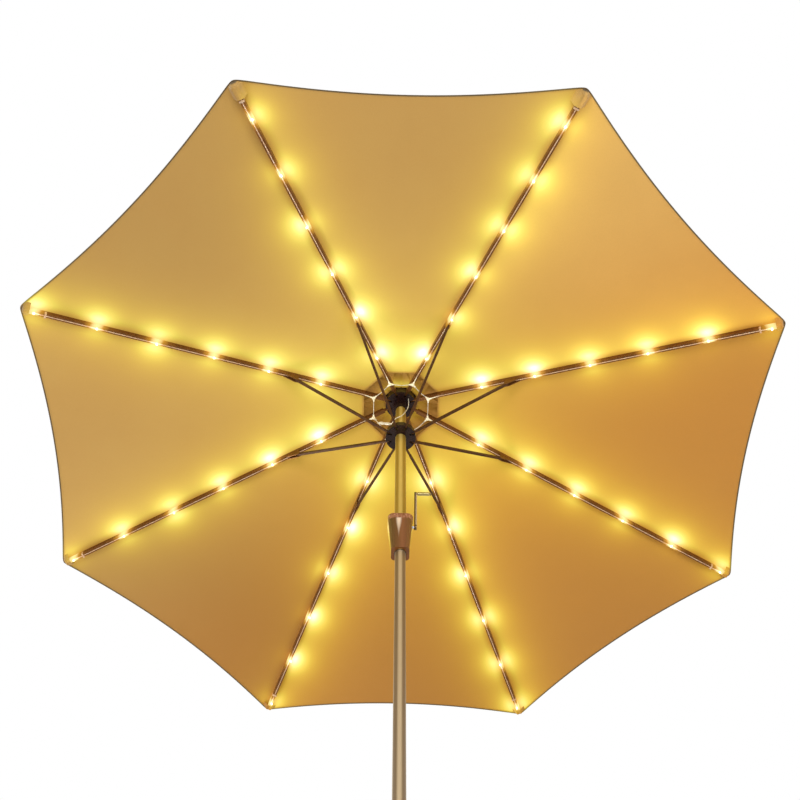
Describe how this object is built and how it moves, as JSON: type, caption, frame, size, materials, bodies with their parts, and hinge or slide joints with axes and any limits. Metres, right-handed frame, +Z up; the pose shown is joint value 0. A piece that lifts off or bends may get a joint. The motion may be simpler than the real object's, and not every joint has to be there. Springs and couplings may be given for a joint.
{
  "type": "parasol string lights",
  "caption": "Folding garden parasol with a crank lift and strings of small warm lamps under its ribs, fed from a solar pack on top.",
  "frame": {"origin": "centre of the pole's lower end", "axes": "+Z up along the pole, +X towards the crank, -Y the side seen from in front"},
  "size_m": [2.4944, 2.4944, 2.415],
  "materials": {
    "pole_metal": "satin",
    "frame_bronze": "satin",
    "hub_plastic": "satin",
    "housing_bronze": "gloss",
    "canopy_fabric": "matte",
    "wire_clear": "gloss",
    "led_glow": "gloss",
    "crank_metal": "satin",
    "steel": "satin",
    "lift_cord": "matte",
    "case_black": "matte",
    "solar_cell": "gloss",
    "battery": "satin",
    "board_green": "satin",
    "button_grey": "matte"
  },
  "bodies": {
    "frame": {"lower_pole": "pole_metal", "upper_pole": "pole_metal", "top_hub": "hub_plastic", "hub_pins": "steel", "finial": "hub_plastic", "crank_housing": "housing_bronze", "housing_screws": "steel", "lift_cord": "lift_cord", "solar_case": "case_black", "solar_panel": "solar_cell", "battery_cell": "battery", "circuit_board": "board_green", "light_ring": "wire_clear", "supply_lead": "wire_clear"},
    "runner": {"runner": "hub_plastic"},
    "crank": {"crank_spool": "steel", "crank_arm": "crank_metal"},
    "grip": {"crank_grip": "crank_metal"},
    "sheave": {"top_sheave": "hub_plastic"},
    "button": {"power_button": "button_grey"},
    "rib_1": {"rib_1": "frame_bronze", "canopy_panel_1": "canopy_fabric", "light_strand_1": "wire_clear", "leds_1": "led_glow"},
    "stretcher_1": {"stretcher_1": "frame_bronze"},
    "rib_2": {"rib_2": "frame_bronze", "canopy_panel_2": "canopy_fabric", "light_strand_2": "wire_clear", "leds_2": "led_glow"},
    "stretcher_2": {"stretcher_2": "frame_bronze"},
    "rib_3": {"rib_3": "frame_bronze", "canopy_panel_3": "canopy_fabric", "light_strand_3": "wire_clear", "leds_3": "led_glow"},
    "stretcher_3": {"stretcher_3": "frame_bronze"},
    "rib_4": {"rib_4": "frame_bronze", "canopy_panel_4": "canopy_fabric", "light_strand_4": "wire_clear", "leds_4": "led_glow"},
    "stretcher_4": {"stretcher_4": "frame_bronze"},
    "rib_5": {"rib_5": "frame_bronze", "canopy_panel_5": "canopy_fabric", "light_strand_5": "wire_clear", "leds_5": "led_glow"},
    "stretcher_5": {"stretcher_5": "frame_bronze"},
    "rib_6": {"rib_6": "frame_bronze", "canopy_panel_6": "canopy_fabric", "light_strand_6": "wire_clear", "leds_6": "led_glow"},
    "stretcher_6": {"stretcher_6": "frame_bronze"},
    "rib_7": {"rib_7": "frame_bronze", "canopy_panel_7": "canopy_fabric", "light_strand_7": "wire_clear", "leds_7": "led_glow"},
    "stretcher_7": {"stretcher_7": "frame_bronze"},
    "rib_8": {"rib_8": "frame_bronze", "canopy_panel_8": "canopy_fabric", "light_strand_8": "wire_clear", "leds_8": "led_glow"},
    "stretcher_8": {"stretcher_8": "frame_bronze"}
  },
  "joints": [
    {"name": "runner_slide", "type": "slide", "parent": "frame", "child": "runner", "axis": [0, 0, -1], "range_m": [0, 0.5119], "deforming": ["lift_cord"]},
    {"name": "crank_turn", "type": "hinge", "parent": "frame", "child": "crank", "pos_m": [0, 0, 1.55501], "axis": [1, 0, 0], "range_deg": [0, 3089]},
    {"name": "sheave_turn", "type": "hinge", "parent": "frame", "child": "sheave", "pos_m": [0, 0.017, 2.35], "axis": [1, 0, 0], "range_deg": [-3913, 0]},
    {"name": "grip_turn", "type": "hinge", "parent": "crank", "child": "grip", "pos_m": [0.06, -0.0575, 1.6546], "axis": [1, 0, 0], "continuous": true},
    {"name": "button_press", "type": "slide", "parent": "frame", "child": "button", "axis": [0, 1, 0], "range_m": [0, 0.0015], "stiffness_N_per_m": 800},
    {"name": "rib_1_fold", "type": "hinge", "parent": "frame", "child": "rib_1", "pos_m": [0.0176, -0.0425, 2.35], "axis": [0.9239, 0.3827, 0], "range_deg": [0, 61], "deforming": ["canopy_panel_1", "light_ring"]},
    {"name": "stretcher_1_fold", "type": "hinge", "parent": "rib_1", "child": "stretcher_1", "pos_m": [0.15728, -0.37971, 2.2275], "axis": [0.9239, 0.3827, 0], "range_deg": [-122, 0]},
    {"name": "rib_2_fold", "type": "hinge", "parent": "frame", "child": "rib_2", "pos_m": [0.0425, -0.0176, 2.35], "axis": [0.3827, 0.9239, 0], "range_deg": [0, 61], "deforming": ["canopy_panel_2"]},
    {"name": "stretcher_2_fold", "type": "hinge", "parent": "rib_2", "child": "stretcher_2", "pos_m": [0.37971, -0.15728, 2.2275], "axis": [0.3827, 0.9239, 0], "range_deg": [-122, 0]},
    {"name": "rib_3_fold", "type": "hinge", "parent": "frame", "child": "rib_3", "pos_m": [0.0425, 0.0176, 2.35], "axis": [-0.3827, 0.9239, 0], "range_deg": [0, 61], "deforming": ["canopy_panel_3"]},
    {"name": "stretcher_3_fold", "type": "hinge", "parent": "rib_3", "child": "stretcher_3", "pos_m": [0.37971, 0.15728, 2.2275], "axis": [-0.3827, 0.9239, 0], "range_deg": [-122, 0]},
    {"name": "rib_4_fold", "type": "hinge", "parent": "frame", "child": "rib_4", "pos_m": [0.0176, 0.0425, 2.35], "axis": [-0.9239, 0.3827, 0], "range_deg": [0, 61], "deforming": ["canopy_panel_4"]},
    {"name": "stretcher_4_fold", "type": "hinge", "parent": "rib_4", "child": "stretcher_4", "pos_m": [0.15728, 0.37971, 2.2275], "axis": [-0.9239, 0.3827, 0], "range_deg": [-122, 0]},
    {"name": "rib_5_fold", "type": "hinge", "parent": "frame", "child": "rib_5", "pos_m": [-0.0176, 0.0425, 2.35], "axis": [-0.9239, -0.3827, 0], "range_deg": [0, 61], "deforming": ["canopy_panel_5"]},
    {"name": "stretcher_5_fold", "type": "hinge", "parent": "rib_5", "child": "stretcher_5", "pos_m": [-0.15728, 0.37971, 2.2275], "axis": [-0.9239, -0.3827, 0], "range_deg": [-122, 0]},
    {"name": "rib_6_fold", "type": "hinge", "parent": "frame", "child": "rib_6", "pos_m": [-0.0425, 0.0176, 2.35], "axis": [-0.3827, -0.9239, 0], "range_deg": [0, 61], "deforming": ["canopy_panel_6", "supply_lead"]},
    {"name": "stretcher_6_fold", "type": "hinge", "parent": "rib_6", "child": "stretcher_6", "pos_m": [-0.37971, 0.15728, 2.2275], "axis": [-0.3827, -0.9239, 0], "range_deg": [-122, 0]},
    {"name": "rib_7_fold", "type": "hinge", "parent": "frame", "child": "rib_7", "pos_m": [-0.0425, -0.0176, 2.35], "axis": [0.3827, -0.9239, 0], "range_deg": [0, 61], "deforming": ["canopy_panel_7"]},
    {"name": "stretcher_7_fold", "type": "hinge", "parent": "rib_7", "child": "stretcher_7", "pos_m": [-0.37971, -0.15728, 2.2275], "axis": [0.3827, -0.9239, 0], "range_deg": [-122, 0]},
    {"name": "rib_8_fold", "type": "hinge", "parent": "frame", "child": "rib_8", "pos_m": [-0.0176, -0.0425, 2.35], "axis": [0.9239, -0.3827, 0], "range_deg": [0, 61], "deforming": ["canopy_panel_8"]},
    {"name": "stretcher_8_fold", "type": "hinge", "parent": "rib_8", "child": "stretcher_8", "pos_m": [-0.15728, -0.37971, 2.2275], "axis": [0.9239, -0.3827, 0], "range_deg": [-122, 0]}
  ],
  "couplings": [
    {"joint": "crank_turn", "follows": "runner_slide", "rad_per_m": 105.26},
    {"joint": "sheave_turn", "follows": "runner_slide", "rad_per_m": -133.33},
    {"joint": "rib_1_fold", "follows": "runner_slide", "rad_per_m": 2.0764},
    {"joint": "stretcher_1_fold", "follows": "runner_slide", "rad_per_m": -4.1528},
    {"joint": "rib_2_fold", "follows": "runner_slide", "rad_per_m": 2.0764},
    {"joint": "stretcher_2_fold", "follows": "runner_slide", "rad_per_m": -4.1528},
    {"joint": "rib_3_fold", "follows": "runner_slide", "rad_per_m": 2.0764},
    {"joint": "stretcher_3_fold", "follows": "runner_slide", "rad_per_m": -4.1528},
    {"joint": "rib_4_fold", "follows": "runner_slide", "rad_per_m": 2.0764},
    {"joint": "stretcher_4_fold", "follows": "runner_slide", "rad_per_m": -4.1528},
    {"joint": "rib_5_fold", "follows": "runner_slide", "rad_per_m": 2.0764},
    {"joint": "stretcher_5_fold", "follows": "runner_slide", "rad_per_m": -4.1528},
    {"joint": "rib_6_fold", "follows": "runner_slide", "rad_per_m": 2.0764},
    {"joint": "stretcher_6_fold", "follows": "runner_slide", "rad_per_m": -4.1528},
    {"joint": "rib_7_fold", "follows": "runner_slide", "rad_per_m": 2.0764},
    {"joint": "stretcher_7_fold", "follows": "runner_slide", "rad_per_m": -4.1528},
    {"joint": "rib_8_fold", "follows": "runner_slide", "rad_per_m": 2.0764},
    {"joint": "stretcher_8_fold", "follows": "runner_slide", "rad_per_m": -4.1528}
  ]
}
